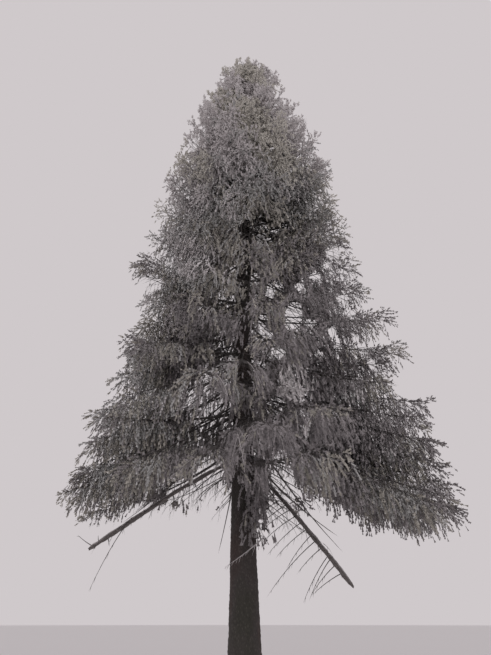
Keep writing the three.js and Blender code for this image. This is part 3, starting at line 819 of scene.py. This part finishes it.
@functools.cache
def crown():
    """The whole crown, grown once with a seeded generator."""
    random = np.random.default_rng(SEED)
    boughs, bare = grow_boughs(random)
    twigs, outer_share = grow_side_twigs(boughs, bare, random)
    ends = joined(twigs, boughs)
    branchlets, twig_of, hang = grow_branchlets(
        ends,
        np.concatenate((np.full(len(twigs), 0.1), np.maximum(bare + 0.1, 0.5))),
        np.concatenate((outer_share, np.ones(len(boughs)))),
        np.repeat((False, True), (len(twigs), len(boughs))),
        random,
    )
    shoots = grow_shoots(
        joined(branchlets, ends),
        np.concatenate((
            np.full(len(branchlets), 0.12),
            np.full(len(twigs), 0.72),
            mix(0.85, 0.45, smooth(0.4, 0.7, boughs.level)),
        )),
        np.concatenate((twig_of, np.arange(len(ends)))),
        np.concatenate((hang, np.full(len(ends), 0.2))),
        random,
    )
    rimed = joined(rimed_twigs(branchlets, random), hanging_twig(random))
    low = boughs.level < DEAD_TWIG_LEVEL
    inner = DEAD_FROM, bare[low] + DEAD_BEYOND, DEAD_SPACING, DEAD_LENGTH
    dead_boughs = grow_dead_boughs(random)
    dead_twigs = joined(
        grow_dead_twigs(boughs.pick(low), *inner, random),
        grow_dead_twigs(dead_boughs, *ON_DEAD_BOUGHS, random),
    )
    dead_sprigs = grow_dead_twigs(dead_twigs, *ON_DEAD_TWIGS, random)
    return {
        "boughs": boughs, "twigs": twigs, "branchlets": branchlets, "shoots": shoots,
        "rimed": rimed, "dead_boughs": dead_boughs, "dead_twigs": dead_twigs,
        "dead_sprigs": dead_sprigs,
    }


# Meshes from arrays


def repeated(points, triangles):
    """Flat arrays of points and triangles, the triangles the same for every shape."""
    offsets = np.arange(len(points))[:, None, None] * points.shape[1]
    return points.reshape(-1, 3), (np.array(triangles)[None] + offsets).reshape(-1, 3)


def tube_arrays(strands, tip_radius, sides, stations):
    """Points and triangles of closed tapering tubes, one for each strand."""
    across = np.cross(strands.first, strands.last)
    straight = np.linalg.norm(across, axis=1) < 1e-6
    steep = np.abs(strands.first[:, :1]) < 0.5 * np.abs(strands.first[:, 2:])
    helper = np.where(steep, (1.0, 0, 0), (0, 0, 1.0))
    across[straight] = np.cross(strands.first, helper + 0.01)[straight]
    across = unit(across)
    angles = np.arange(sides) * 2 * math.pi / sides
    rings = []
    for station in range(stations):
        share = station / stations
        upright = unit(np.cross(strands.direction(share), across))
        radius = mix(strands.thickness, tip_radius, share)[:, None, None]
        circle = across[:, None] * np.cos(angles)[:, None]
        circle = circle + upright[:, None] * np.sin(angles)[:, None]
        rings.append(strands.point(share)[:, None] + circle * radius)
    points = np.concatenate([*rings, strands.point(1.0)[:, None]], axis=1)
    triangles = []
    for station in range(stations - 1):
        for side in range(sides):
            after = (side + 1) % sides
            a, b = station * sides + side, station * sides + after
            triangles += [(a, b, b + sides), (a, b + sides, a + sides)]
    top = (stations - 1) * sides
    triangles += [(top + side, top + (side + 1) % sides, stations * sides) for side in range(sides)]
    triangles += [(0, side + 1, side) for side in range(1, sides - 1)]
    return repeated(points, triangles)


def shoot_arrays(shoots, which):
    """Points and triangles of needled shoots: pairs of broad needles that turn round the axis."""
    some = shoots.pick(which)
    root, axis, across = some.root, some.axis, some.across
    above = np.cross(axis, across)
    length, width = some.length[:, None], some.width[:, None]
    corners, triangles = [], []
    for pair, reach in enumerate(NEEDLE_REACH):
        start = NEEDLED * max(0.0, pair - NEEDLE_OVERLAP) / NEEDLE_PAIRS
        end = NEEDLED * (pair + 1 + NEEDLE_OVERLAP) / NEEDLE_PAIRS
        turn = NEEDLE_TURNS[pair]
        outward = (across * math.cos(turn) + above * math.sin(turn)) * reach * width
        tip = root + axis * length * (end - NEEDLED * NEEDLE_OVERLAP / NEEDLE_PAIRS + NEEDLE_LEAN)
        corners += [root + axis * length * start, root + axis * length * end]
        corners += [tip - outward, tip + outward]
        low, high = 4 * pair, 4 * pair + 1
        triangles += [(low, high, high + 1), (high, low, high + 2)]
    return repeated(np.stack(corners, axis=1), triangles)


def extruded(name, centres, radii, sides, facing):
    """A limb extruded ring by ring from a circle, through its centres and with its radii."""
    deselect()
    turn = Vector(facing).to_track_quat("Z", "Y").to_euler()
    bpy.ops.mesh.primitive_circle_add(
        vertices=sides, radius=radii[0], fill_type="NGON", location=centres[0], rotation=turn
    )
    piece = bpy.context.object
    piece.name = piece.data.name = name
    bpy.ops.object.transform_apply(location=True, rotation=True, scale=True)
    bpy.ops.object.mode_set(mode="EDIT")
    bpy.ops.mesh.select_all(action="SELECT")
    for number in range(1, len(centres)):
        step = centres[number] - centres[number - 1]
        narrower = radii[number] / radii[number - 1]
        bpy.ops.mesh.extrude_region_move(TRANSFORM_OT_translate={"value": tuple(step)})
        bpy.ops.transform.resize(value=(narrower,) * 3, center_override=tuple(centres[number]))
    bpy.ops.mesh.select_all(action="SELECT")
    bpy.ops.mesh.normals_make_consistent(inside=False)
    bpy.ops.object.mode_set(mode="OBJECT")
    return piece


def round_off(piece):
    """Subdivide a piece's cage once and for all."""
    smoothing = piece.modifiers.new("round", "SUBSURF")
    smoothing.levels = smoothing.render_levels = 2
    smoothing.use_limit_surface = False
    bpy.ops.object.modifier_apply(modifier=smoothing.name)


def raise_surface(piece, name, kind, size, strength, group=""):
    """Move a piece's surface in and out by a pattern, and keep it so."""
    texture = bpy.data.textures.new(name, kind)
    texture.noise_scale = size
    displace = piece.modifiers.new(name, "DISPLACE")
    displace.texture = texture
    displace.texture_coords = "LOCAL"
    displace.strength = strength
    displace.mid_level = 0.5
    displace.vertex_group = group
    bpy.ops.object.modifier_apply(modifier=displace.name)


def mesh_piece(name, points, triangles, material):
    """A piece of the tree from arrays of points and triangles, with its finish."""
    mesh = bpy.data.meshes.new(name)
    mesh.vertices.add(len(points))
    mesh.vertices.foreach_set("co", points.astype(np.float32).ravel())
    mesh.loops.add(triangles.size)
    mesh.loops.foreach_set("vertex_index", triangles.astype(np.int32).ravel())
    mesh.polygons.add(len(triangles))
    mesh.polygons.foreach_set("loop_start", np.arange(0, triangles.size, 3, dtype=np.int32))
    mesh.update(calc_edges=True)
    mesh.validate()
    mesh.materials.append(material)
    piece = bpy.data.objects.new(name, mesh)
    bpy.context.scene.collection.objects.link(piece)
    return piece


def tube_piece(name, finish, *groups):
    """A piece of tubes, from pairs of strands and the measures of their tubes."""
    arrays = [tube_arrays(strands, *tube) for strands, tube in groups]
    starts = np.cumsum([0] + [len(points) for points, _ in arrays[:-1]])
    points = np.concatenate([points for points, _ in arrays])
    triangles = np.concatenate([corners + start for (_, corners), start in zip(arrays, starts)])
    return mesh_piece(name, points, triangles, finish)


def deselect():
    bpy.ops.object.select_all(action="DESELECT")


def finish_piece(piece, slot, *nodes):
    """Says which body carries a piece and which solids it stands for. The slot is not used."""
    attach(piece, "root")
    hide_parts(*nodes)


def nodes_like(start):
    return sorted(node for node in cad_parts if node.startswith(start))


# Finishes


class Finish:
    """A material whose patterns lie on the piece's own coordinates."""

    def __init__(self, name, roughness):
        self.material = bpy.data.materials.new(name)
        self.material.use_nodes = True
        self.nodes = self.material.node_tree.nodes
        self.link = self.material.node_tree.links.new
        self.inputs = self.nodes["Principled BSDF"].inputs
        self.inputs["Roughness"].default_value = roughness

    def pattern(self, kind, scale, stretch=(1.0, 1.0, 1.0), **values):
        """A noise or a cell pattern."""
        coordinates = self.nodes.new("ShaderNodeTexCoord")
        mapping = self.nodes.new("ShaderNodeMapping")
        mapping.inputs["Scale"].default_value = stretch
        texture = self.nodes.new(f"ShaderNodeTex{kind}")
        texture.inputs["Scale"].default_value = scale
        for key, value in values.items():
            texture.inputs[key].default_value = value
        self.link(coordinates.outputs["Object"], mapping.inputs["Vector"])
        self.link(mapping.outputs["Vector"], texture.inputs["Vector"])
        return texture.outputs["Distance" if kind == "Voronoi" else "Fac"]

    def ramp(self, source, *stops):
        """Colours by the value of a pattern."""
        node = self.nodes.new("ShaderNodeValToRGB")
        elements = node.color_ramp.elements
        while len(elements) < len(stops):
            elements.new(0.5)
        for element, (place, shade) in zip(elements, stops):
            element.position = place
            element.color = (*shade, 1.0)
        self.link(source, node.inputs["Fac"])
        return node.outputs["Color"]

    def blend(self, share, first, second):
        node = self.nodes.new("ShaderNodeMix")
        node.data_type = "RGBA"
        self.link(share, node.inputs["Factor"])
        self.link(first, node.inputs["A"])
        self.link(second, node.inputs["B"])
        return node.outputs["Result"]

    def colour_by(self, source):
        self.link(source, self.inputs["Base Color"])

    def bump(self, height, strength, distance):
        node = self.nodes.new("ShaderNodeBump")
        node.inputs["Strength"].default_value = strength
        node.inputs["Distance"].default_value = distance
        self.link(height, node.inputs["Height"])
        self.link(node.outputs["Normal"], self.inputs["Normal"])


def times(factor, shade):
    return tuple(min(1.0, factor * part) for part in shade)


def trunk_finish(look):
    """Scaly dark bark with paler scale edges, moss and a reddish flush."""
    finish = Finish("spruce trunk bark", 0.92)
    scales = finish.pattern("Voronoi", 26.0, (1.0, 1.0, 0.6))
    tones = finish.pattern("Noise", 2.2, (1.0, 1.0, 0.35), Detail=6.0)
    grain = finish.pattern("Noise", 70.0, (1.0, 1.0, 0.5), Detail=4.0)
    pale = look.scale_colour
    bark = finish.ramp(scales, (0.05, pale), (0.42, look.crevice_colour))
    tint = finish.ramp(tones, (0.36, look.moss_colour), (0.5, pale), (0.64, look.flush_colour))
    finish.colour_by(finish.blend(grain, bark, tint))
    finish.bump(scales, 0.7, 0.012)
    return finish.material


def wood_finish(name, dark, pale, scale):
    """Bark of boughs and twigs: two tones in streaks."""
    finish = Finish(name, 0.9)
    streaks = finish.pattern("Noise", scale, Detail=5.0, Roughness=0.65)
    finish.colour_by(finish.ramp(streaks, (0.35, dark), (0.66, pale)))
    finish.bump(streaks, 0.5, 0.006)
    return finish.material


def limb_finish(look):
    """Dead wood: dark weathered bark, with frost on what faces the sky."""
    finish = Finish("spruce dead limb", 0.9)
    streaks = finish.pattern("Noise", 22.0, Detail=6.0, Roughness=0.7)
    dead = look.dead_colour
    bark = finish.ramp(streaks, (0.36, times(1.3, dead)), (0.68, times(2.5, dead)))
    rime = finish.ramp(streaks, (0.3, look.rime_colour), (0.6, look.thick_rime_colour))
    facing = finish.nodes.new("ShaderNodeNewGeometry")
    split = finish.nodes.new("ShaderNodeSeparateXYZ")
    finish.link(facing.outputs["Normal"], split.inputs["Vector"])
    above = finish.ramp(split.outputs["Z"], (0.15, (0, 0, 0)), (0.6, (1, 1, 1)))
    finish.colour_by(finish.blend(above, bark, rime))
    finish.bump(streaks, 0.6, 0.008)
    return finish.material


def needle_finish(name, shade):
    """Needles with a thin coat of frost: one plain tint, a little uneven."""
    finish = Finish(name, 0.75)
    speckle = finish.pattern("Noise", 34.0, Detail=2.0)
    finish.colour_by(finish.ramp(speckle, (0.35, times(0.88, shade)), (0.65, times(1.12, shade))))
    finish.inputs["Specular IOR Level"].default_value = 0.25
    return finish.material


def colour(name, description, value):
    return bpy.props.FloatVectorProperty(
        name=name, description=description, subtype="COLOR", default=value
    )


class TrunkLook(bpy.types.PropertyGroup):
    crevice_colour: colour(
        "Crevices", "Colour between the scales of the bark", (0.022, 0.019, 0.018)
    )
    scale_colour: colour("Scales", "Colour of the bark's scales", (0.105, 0.092, 0.086))
    flush_colour: colour("Reddish flush", "Reddish tone of bare bark", (0.112, 0.074, 0.064))
    moss_colour: colour("Moss", "Thin moss on the bark", (0.078, 0.076, 0.06))
    relief: bpy.props.FloatProperty(
        name="Relief", description="How far the bark's scales stand out", default=0.012, unit="LENGTH"
    )


class WoodLook(bpy.types.PropertyGroup):
    bough_colour: colour("Boughs", "Darker tone of the boughs' bark", (0.07, 0.062, 0.06))
    frost_colour: colour("Frosted bark", "Paler tone of boughs and twigs", (0.17, 0.158, 0.152))
    rime_colour: colour("Rime", "Frost that lies on top of dead limbs", (0.42, 0.4, 0.4))
    thick_rime_colour: colour(
        "Thick rime", "Palest frost, on twigs that are thick with it", (0.68, 0.65, 0.65)
    )
    dead_colour: colour("Dead wood", "Darker tone of dead limbs and twigs", (0.1, 0.091, 0.088))
    relief: bpy.props.FloatProperty(
        name="Relief", description="Unevenness of the boughs", default=0.008, unit="LENGTH"
    )


class NeedleLook(bpy.types.PropertyGroup):
    # Darkest needles: less frost, and painted shade inside the crown
    deep: colour("Deep", "Needles inside the crown, with little frost", (0.32, 0.3, 0.305))
    olive: colour("Olive", "Olive brown needles", (0.425, 0.405, 0.365))
    grey_green: colour("Grey green", "The usual frosted needles", (0.475, 0.475, 0.468))
    frosted: colour("Frosted", "Needles pale with frost", (0.67, 0.642, 0.644))
    rimed: colour(
        "Rimed", "Needles white with rime, mostly high in the crown", (0.68, 0.655, 0.655)
    )
    white: colour("White", "Needles hidden under thick rime", (0.92, 0.89, 0.895))
    olive_frosted: colour(
        "Olive frosted", "Olive needles under frost, high in the crown", (0.63, 0.61, 0.56)
    )


class StageLook(bpy.types.PropertyGroup):
    sky_colour: colour("Sky", "Even light of an overcast day", (0.624, 0.584, 0.597))
    floor_colour: colour("Floor", "Plain pale floor", (0.68, 0.665, 0.67))
    sun_strength: bpy.props.FloatProperty(
        name="Sun", description="Strength of the soft light from above", default=0.4
    )


class SPRUCE_OT_trunk(bpy.types.Operator):
    """Extrude the trunk ring by ring, smooth it and raise its bark"""

    bl_idname = "spruce.trunk"
    bl_label = "Trunk"

    sides = 24
    close_step = 0.09
    wide_step = 0.3
    close_height = 5.6
    foot_ring = 0.006
    full_relief_from = 0.6
    flat_below = 0.01
    relief_steps = 10

    def execute(self, context):
        look = context.scene.spruce_trunk
        heights = np.concatenate((
            [GROUND, self.foot_ring],
            np.arange(self.close_step, self.close_height, self.close_step),
            np.arange(self.close_height, TREE_HEIGHT - 0.05, self.wide_step),
            [TREE_HEIGHT - 0.01],
        ))
        trunk = extruded(
            "trunk_with_bark", trunk_centre(heights), trunk_radius(heights), self.sides, UP
        )
        self.add_root_ridges(trunk.data)
        self.raise_bark(trunk, look.relief)
        trunk.data.materials.append(trunk_finish(look))
        bpy.ops.object.shade_smooth()
        finish_piece(trunk, "trunk_bark", "trunk")
        return {"FINISHED"}

    def add_root_ridges(self, mesh):
        points = np.empty(len(mesh.vertices) * 3)
        mesh.vertices.foreach_get("co", points)
        points = points.reshape(-1, 3)
        centre = trunk_centre(points[:, 2])
        off = points - centre
        angle = np.arctan2(off[:, 1], off[:, 0])
        fade = RIDGE_DEPTH * np.exp(-points[:, 2] / RIDGE_HEIGHT)
        off *= (1 + fade * np.cos(ROOT_RIDGES * angle))[:, None]
        off[:, 2] = 0.0
        mesh.vertices.foreach_set("co", (centre + off).ravel())
        mesh.update()

    def raise_bark(self, trunk, relief):
        round_off(trunk)
        raised = trunk.vertex_groups.new(name=RAISED)
        heights = np.array([vertex.co.z for vertex in trunk.data.vertices])
        weight = trunk_radius(heights) / float(trunk_radius(self.full_relief_from))
        for step in range(self.relief_steps):
            low, high = step / self.relief_steps, (step + 1) / self.relief_steps
            chosen = (weight > low) & (weight <= high) & (heights > self.flat_below)
            raised.add(np.nonzero(chosen)[0].tolist(), high, "REPLACE")
        for name, kind, size, strength in (
            ("swells", "CLOUDS", 0.5, 2.2 * relief),
            ("plates", "VORONOI", 0.06, -1.5 * relief),
            ("grain", "CLOUDS", 0.03, 0.8 * relief),
        ):
            raise_surface(trunk, name, kind, size, strength, RAISED)


class SPRUCE_OT_boughs(bpy.types.Operator):
    """Make the boughs with uneven bark, from the trunk to their tips"""

    bl_idname = "spruce.boughs"
    bl_label = "Boughs"

    def execute(self, context):
        look = context.scene.spruce_wood
        finish = wood_finish("spruce bough bark", look.bough_colour, look.frost_colour, 14.0)
        piece = tube_piece("bough_wood", finish, (crown()["boughs"], BOUGH_TUBE))
        deselect()
        context.view_layer.objects.active = piece
        piece.select_set(True)
        raise_surface(piece, "bough bark", "CLOUDS", 0.07, look.relief)
        bpy.ops.object.shade_smooth()
        finish_piece(piece, "bough_bark", *nodes_like("bough_"))
        return {"FINISHED"}


class SPRUCE_OT_twigs(bpy.types.Operator):
    """Make the living twigs and the branchlets that hang from them"""

    bl_idname = "spruce.twigs"
    bl_label = "Twigs"

    def execute(self, context):
        look = context.scene.spruce_wood
        grown = crown()
        bark = wood_finish("spruce twig bark", look.dead_colour, look.frost_colour, 30.0)
        frosted = wood_finish("spruce frosted twigs", look.rime_colour, look.thick_rime_colour, 30.0)
        for zone, finish, high in (("low", bark, False), ("high", frosted, True)):
            twigs, branchlets = (
                grown[kind].pick((grown[kind].level > FROSTED_FROM) == high)
                for kind in ("twigs", "branchlets")
            )
            piece = tube_piece(f"side_twigs_{zone}", finish, (twigs, TWIG_TUBE))
            finish_piece(piece, "bough_bark")
            long = branchlets.length() > LONG_BRANCHLET
            piece = tube_piece(
                f"branchlets_{zone}", finish,
                (branchlets.pick(long), LONG_BRANCHLET_TUBE),
                (branchlets.pick(~long), BRANCHLET_TUBE),
            )
            finish_piece(piece, "bough_bark")
        rime = wood_finish("spruce rimed twigs", look.rime_colour, look.thick_rime_colour, 40.0)
        piece = tube_piece("rimed_twigs", rime, (grown["rimed"], RIMED_TUBE))
        finish_piece(piece, "dead_wood")
        return {"FINISHED"}


class SPRUCE_OT_dead_twigs(bpy.types.Operator):
    """Make the dead boughs and twigs inside the crown and under it"""

    bl_idname = "spruce.dead_twigs"
    bl_label = "Dead Twigs"

    def execute(self, context):
        look = context.scene.spruce_wood
        grown = crown()
        finish = wood_finish("spruce dead twigs", look.dead_colour, look.frost_colour, 30.0)
        piece = tube_piece(
            "dead_twigs", finish,
            (grown["dead_boughs"], DEAD_BOUGH_TUBE),
            (grown["dead_twigs"], DEAD_TWIG_TUBE),
            (grown["dead_sprigs"], DEAD_SPRIG_TUBE),
        )
        finish_piece(piece, "dead_wood")
        return {"FINISHED"}


class SPRUCE_OT_dead_limbs(bpy.types.Operator):
    """Extrude the two dead limbs, with uneven bark, broken ends and fine twigs"""

    bl_idname = "spruce.dead_limbs"
    bl_label = "Dead Limbs"

    sides = 10
    rings = 26
    places = (0.0, 0.3, 0.7, 0.9, 1.0)
    thicknesses = (0.8, 0.75, 1.0, 1.0, 0.8)
    sway = 0.022
    splinter = 0.05
    end_length = 0.02

    def execute(self, context):
        look = context.scene.spruce_wood
        random = np.random.default_rng(SEED + 1)
        bark = limb_finish(look)
        fine = wood_finish("spruce limb twigs", look.dead_colour, look.frost_colour, 30.0)
        for name, sizes in DEAD_LIMBS.items():
            stem = limbs([sizes])
            shares = np.linspace(0.0, 1.0, self.rings)
            centres = np.array([stem.point(np.array([share]))[0] for share in shares])
            aside = unit(np.cross(centres[-1] - centres[0], UP))
            bends = np.sin(9.5 * shares)[:, None] * aside + np.sin(7.1 * shares)[:, None] * UP
            centres += self.sway * bends * shares[:, None] ** 0.5
            radii = stem.thickness[0] * np.interp(shares, self.places, self.thicknesses)
            piece = extruded(f"{name}_wood", centres, radii, self.sides, centres[-1] - centres[0])
            round_off(piece)
            self.break_end(piece.data, centres, random)
            for kind, size, strength in (("CLOUDS", 0.16, 0.03), ("CLOUDS", 0.035, 0.014)):
                raise_surface(piece, f"{name} {size}", kind, size, strength)
            piece.data.materials.append(bark)
            bpy.ops.object.shade_smooth()
            finish_piece(piece, "dead_wood", name)
            twigs, sprigs = grow_limb_twigs(name, random)
            piece = tube_piece(
                f"{name}_twigs", fine, (twigs, LIMB_TWIG_TUBE), (sprigs, LIMB_SPRIG_TUBE)
            )
            finish_piece(piece, "dead_wood")
        return {"FINISHED"}

    def break_end(self, mesh, centres, random):
        """Splinter the broken end."""
        along = unit(centres[-1] - centres[-2])
        for vertex in mesh.vertices:
            beyond = (np.array(vertex.co) - centres[-1]) @ along
            if beyond > -self.end_length:
                vertex.co += Vector(along * random.uniform(-0.3, 1.0) * self.splinter)
        mesh.update()


class SPRUCE_OT_needles(bpy.types.Operator):
    """Make the needled shoots, joined by zone of the crown and by tint"""

    bl_idname = "spruce.needles"
    bl_label = "Needles"

    def execute(self, context):
        look = context.scene.spruce_needles
        shoots = crown()["shoots"]
        finishes = [needle_finish(f"spruce needles {tint}", getattr(look, tint)) for tint in TINTS]
        for zone, low, high in ZONES:
            tiers = [tier for tier in range(TIERS) if low <= tier / (TIERS - 1) < high]
            nodes = [node for tier in tiers for node in nodes_like(f"foliage_tier{tier + 1}_")]
            for number, tint in enumerate(TINTS):
                which = (shoots.level >= low) & (shoots.level < high) & (shoots.tint == number)
                if which.any():
                    arrays = shoot_arrays(shoots, which)
                    piece = mesh_piece(f"needles_{zone}_{tint}", *arrays, finishes[number])
                    finish_piece(piece, "needles", *nodes)
        return {"FINISHED"}


class SPRUCE_OT_stage(bpy.types.Operator):
    """Set the pale floor, the even light and the camera"""

    bl_idname = "spruce.stage"
    bl_label = "Stage"

    view_distance = 1000.0
    floor_sides = 96
    floor_radius = 300.0
    floor_drop = 0.002
    sun_tilt = math.radians(55)
    sun_spread = math.radians(120)

    def execute(self, context):
        look = context.scene.spruce_stage
        deselect()
        bpy.ops.mesh.primitive_circle_add(
            vertices=self.floor_sides, radius=self.floor_radius, fill_type="NGON",
            location=(0, 0, GROUND - self.floor_drop),
        )
        floor = context.object
        floor.name = "floor"
        finish = Finish("floor", 0.95)
        finish.inputs["Base Color"].default_value = (*look.floor_colour, 1.0)
        floor.data.materials.append(finish.material)
        world = bpy.data.worlds.new("overcast")
        world.use_nodes = True
        background = world.node_tree.nodes["Background"]
        background.inputs["Color"].default_value = (*look.sky_colour, 1.0)
        background.inputs["Strength"].default_value = 1.0
        context.scene.world = world
        bpy.ops.object.light_add(type="SUN", location=(0, 8, 30), rotation=(self.sun_tilt, 0, 0))
        sun = context.object
        sun.data.energy = look.sun_strength
        sun.data.angle = self.sun_spread
        tilt = math.pi / 2 + CAMERA_PITCH
        bpy.ops.object.camera_add(location=CAMERA_PLACE, rotation=(tilt, 0, 0))
        camera = context.object
        camera.data.lens = CAMERA_LENS
        camera.data.sensor_width = SENSOR
        camera.data.clip_end = self.view_distance
        context.scene.camera = camera
        context.scene.view_settings.view_transform = "Standard"
        return {"FINISHED"}


class SPRUCE_PT_panel(bpy.types.Panel):
    bl_label = "Norway Spruce"
    bl_space_type = "VIEW_3D"
    bl_region_type = "UI"
    bl_category = "Spruce"

    def draw(self, context):
        for operator in OPERATORS:
            self.layout.operator(operator.bl_idname)


OPERATORS = (
    SPRUCE_OT_trunk,
    SPRUCE_OT_boughs,
    SPRUCE_OT_twigs,
    SPRUCE_OT_dead_twigs,
    SPRUCE_OT_dead_limbs,
    SPRUCE_OT_needles,
    SPRUCE_OT_stage,
)
LOOKS = {
    "spruce_trunk": TrunkLook,
    "spruce_wood": WoodLook,
    "spruce_needles": NeedleLook,
    "spruce_stage": StageLook,
}


def register():
    for item in (*LOOKS.values(), *OPERATORS, SPRUCE_PT_panel):
        bpy.utils.register_class(item)
    for name, look in LOOKS.items():
        setattr(bpy.types.Scene, name, bpy.props.PointerProperty(type=look))


def unregister():
    for name in LOOKS:
        delattr(bpy.types.Scene, name)
    for item in reversed((*LOOKS.values(), *OPERATORS, SPRUCE_PT_panel)):
        bpy.utils.unregister_class(item)


def main():
    register()
    bpy.ops.spruce.stage()
    bpy.ops.spruce.trunk()
    bpy.ops.spruce.boughs()
    bpy.ops.spruce.twigs()
    bpy.ops.spruce.dead_twigs()
    bpy.ops.spruce.dead_limbs()
    bpy.ops.spruce.needles()


if __name__ == "__main__":
    main()
